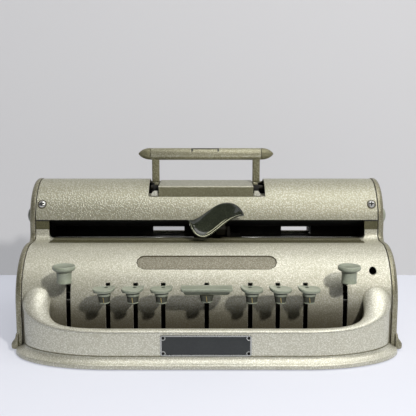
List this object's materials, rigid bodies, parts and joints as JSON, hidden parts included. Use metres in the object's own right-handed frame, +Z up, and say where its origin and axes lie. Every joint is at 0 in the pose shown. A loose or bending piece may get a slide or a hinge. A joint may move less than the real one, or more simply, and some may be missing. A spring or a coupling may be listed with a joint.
{
  "type": "manual braille writer",
  "caption": "Mechanical braille writer in a cast metal case: chorded key levers lift embossing bars under a sliding carriage, with paper roller, knobs and folding handle.",
  "frame": {"origin": "on the table, at the middle of the footprint", "axes": "+X to the user's right, -Y towards the user, +Z up"},
  "size_m": [0.3968, 0.23, 0.192],
  "materials": {
    "hammertone_paint": "light olive-grey hammered enamel",
    "handle_paint": "darker worn hammered enamel",
    "dark_steel": "blackened steel",
    "steel": "plain cold-rolled steel",
    "bright_steel": "bright plated steel",
    "key_plastic": "grey-green moulded plastic",
    "lever_plastic": "glossy dark green-grey",
    "rubber": "black rubber",
    "brass": "dull brass",
    "plate_black": "black plate with bright border"
  },
  "bodies": {
    "casing": {"front_guard": "hammertone_paint", "front_panel": "hammertone_paint", "top_cover": "hammertone_paint", "left_side_cover": "hammertone_paint", "right_side_cover": "hammertone_paint", "rear_cover": "hammertone_paint", "base_plate": "dark_steel", "rubber_feet": "rubber", "cover_screws": "bright_steel", "left_frame": "steel", "right_frame": "steel", "tie_rods": "steel", "key_shaft": "steel", "key_stop_rail": "dark_steel", "key_return_springs": "steel", "carriage_rails": "bright_steel", "bar_guides": "steel", "handle_bracket": "hammertone_paint", "handle_pivot_pins": "steel", "bell": "bright_steel", "mainspring_barrel": "brass", "escapement_rack": "steel", "data_plate": "plate_black"},
    "dot_1_key": {"dot_1_lever": "dark_steel", "dot_1_cap": "key_plastic"},
    "dot_2_key": {"dot_2_lever": "dark_steel", "dot_2_cap": "key_plastic"},
    "dot_3_key": {"dot_3_lever": "dark_steel", "dot_3_cap": "key_plastic"},
    "dot_4_key": {"dot_4_lever": "dark_steel", "dot_4_cap": "key_plastic"},
    "dot_5_key": {"dot_5_lever": "dark_steel", "dot_5_cap": "key_plastic"},
    "dot_6_key": {"dot_6_lever": "dark_steel", "dot_6_cap": "key_plastic"},
    "space_key": {"space_lever": "dark_steel", "space_bar": "key_plastic"},
    "line_space_key": {"line_space_lever": "dark_steel", "line_space_cap": "key_plastic"},
    "backspace_key": {"backspace_lever": "dark_steel", "backspace_cap": "key_plastic"},
    "bar_1": {"embossing_bar_1": "steel"},
    "bar_2": {"embossing_bar_2": "steel"},
    "bar_3": {"embossing_bar_3": "steel"},
    "bar_4": {"embossing_bar_4": "steel"},
    "bar_5": {"embossing_bar_5": "steel"},
    "bar_6": {"embossing_bar_6": "steel"},
    "carriage": {"carriage_body": "dark_steel", "embossing_head": "steel", "embossing_pins": "bright_steel"},
    "carriage_release": {"carriage_lever": "lever_plastic"},
    "handle": {"handle_grip": "handle_paint", "handle_end_caps": "handle_paint", "handle_arms": "handle_paint"},
    "roller": {"paper_roller": "rubber", "feed_knobs": "key_plastic", "ratchet_wheel": "steel"},
    "paper_release": {"release_levers": "dark_steel"},
    "left_stop": {"left_margin_stop": "bright_steel"},
    "right_stop": {"right_margin_stop": "bright_steel"}
  },
  "joints": [
    {"name": "dot_1_press", "type": "hinge", "parent": "casing", "child": "dot_1_key", "pos_m": [0, 0.004, 0.024], "axis": [1, 0, 0], "range_deg": [0, 5], "stiffness_Nm_per_rad": 0.8, "springref_deg": -14.32},
    {"name": "dot_2_press", "type": "hinge", "parent": "casing", "child": "dot_2_key", "pos_m": [0, 0.004, 0.024], "axis": [1, 0, 0], "range_deg": [0, 5], "stiffness_Nm_per_rad": 0.8, "springref_deg": -14.32},
    {"name": "dot_3_press", "type": "hinge", "parent": "casing", "child": "dot_3_key", "pos_m": [0, 0.004, 0.024], "axis": [1, 0, 0], "range_deg": [0, 5], "stiffness_Nm_per_rad": 0.8, "springref_deg": -14.32},
    {"name": "dot_4_press", "type": "hinge", "parent": "casing", "child": "dot_4_key", "pos_m": [0, 0.004, 0.024], "axis": [1, 0, 0], "range_deg": [0, 5], "stiffness_Nm_per_rad": 0.8, "springref_deg": -14.32},
    {"name": "dot_5_press", "type": "hinge", "parent": "casing", "child": "dot_5_key", "pos_m": [0, 0.004, 0.024], "axis": [1, 0, 0], "range_deg": [0, 5], "stiffness_Nm_per_rad": 0.8, "springref_deg": -14.32},
    {"name": "dot_6_press", "type": "hinge", "parent": "casing", "child": "dot_6_key", "pos_m": [0, 0.004, 0.024], "axis": [1, 0, 0], "range_deg": [0, 5], "stiffness_Nm_per_rad": 0.8, "springref_deg": -14.32},
    {"name": "space_press", "type": "hinge", "parent": "casing", "child": "space_key", "pos_m": [0, 0.004, 0.024], "axis": [1, 0, 0], "range_deg": [0, 5], "stiffness_Nm_per_rad": 0.8, "springref_deg": -14.32},
    {"name": "line_space_press", "type": "hinge", "parent": "casing", "child": "line_space_key", "pos_m": [0, 0.004, 0.024], "axis": [1, 0, 0], "range_deg": [0, 5], "stiffness_Nm_per_rad": 0.8, "springref_deg": -14.32},
    {"name": "backspace_press", "type": "hinge", "parent": "casing", "child": "backspace_key", "pos_m": [0, 0.004, 0.024], "axis": [1, 0, 0], "range_deg": [0, 5], "stiffness_Nm_per_rad": 0.8, "springref_deg": -14.32},
    {"name": "bar_1_lift", "type": "slide", "parent": "casing", "child": "bar_1", "axis": [0, 0, 1], "range_m": [0, 0.0055]},
    {"name": "bar_2_lift", "type": "slide", "parent": "casing", "child": "bar_2", "axis": [0, 0, 1], "range_m": [0, 0.0055]},
    {"name": "bar_3_lift", "type": "slide", "parent": "casing", "child": "bar_3", "axis": [0, 0, 1], "range_m": [0, 0.0055]},
    {"name": "bar_4_lift", "type": "slide", "parent": "casing", "child": "bar_4", "axis": [0, 0, 1], "range_m": [0, 0.0055]},
    {"name": "bar_5_lift", "type": "slide", "parent": "casing", "child": "bar_5", "axis": [0, 0, 1], "range_m": [0, 0.0055]},
    {"name": "bar_6_lift", "type": "slide", "parent": "casing", "child": "bar_6", "axis": [0, 0, 1], "range_m": [0, 0.0055]},
    {"name": "carriage_slide", "type": "slide", "parent": "casing", "child": "carriage", "axis": [1, 0, 0], "range_m": [-0.128, 0.128]},
    {"name": "carriage_lever_press", "type": "hinge", "parent": "carriage", "child": "carriage_release", "pos_m": [0.012, 0.03, 0.109], "axis": [1, 0, 0], "range_deg": [0, 4], "stiffness_Nm_per_rad": 0.3, "springref_deg": -22.92},
    {"name": "handle_fold", "type": "hinge", "parent": "casing", "child": "handle", "pos_m": [0, 0.061, 0.148], "axis": [1, 0, 0], "range_deg": [-64, 0]},
    {"name": "roller_turn", "type": "hinge", "parent": "casing", "child": "roller", "pos_m": [0, 0.05, 0.119], "axis": [1, 0, 0], "continuous": true},
    {"name": "paper_release_pull", "type": "hinge", "parent": "casing", "child": "paper_release", "pos_m": [0, 0.084, 0.132], "axis": [1, 0, 0], "range_deg": [-20, 0], "stiffness_Nm_per_rad": 0.3, "springref_deg": 22.92},
    {"name": "left_stop_slide", "type": "slide", "parent": "casing", "child": "left_stop", "axis": [1, 0, 0], "range_m": [-0.018, 0.09]},
    {"name": "right_stop_slide", "type": "slide", "parent": "casing", "child": "right_stop", "axis": [1, 0, 0], "range_m": [-0.1, 0.002]}
  ],
  "couplings": [
    {"joint": "bar_1_lift", "follows": "dot_1_press", "m_per_rad": 0.038},
    {"joint": "bar_2_lift", "follows": "dot_2_press", "m_per_rad": 0.042},
    {"joint": "bar_3_lift", "follows": "dot_3_press", "m_per_rad": 0.046},
    {"joint": "bar_4_lift", "follows": "dot_4_press", "m_per_rad": 0.05},
    {"joint": "bar_5_lift", "follows": "dot_5_press", "m_per_rad": 0.054},
    {"joint": "bar_6_lift", "follows": "dot_6_press", "m_per_rad": 0.058}
  ]
}
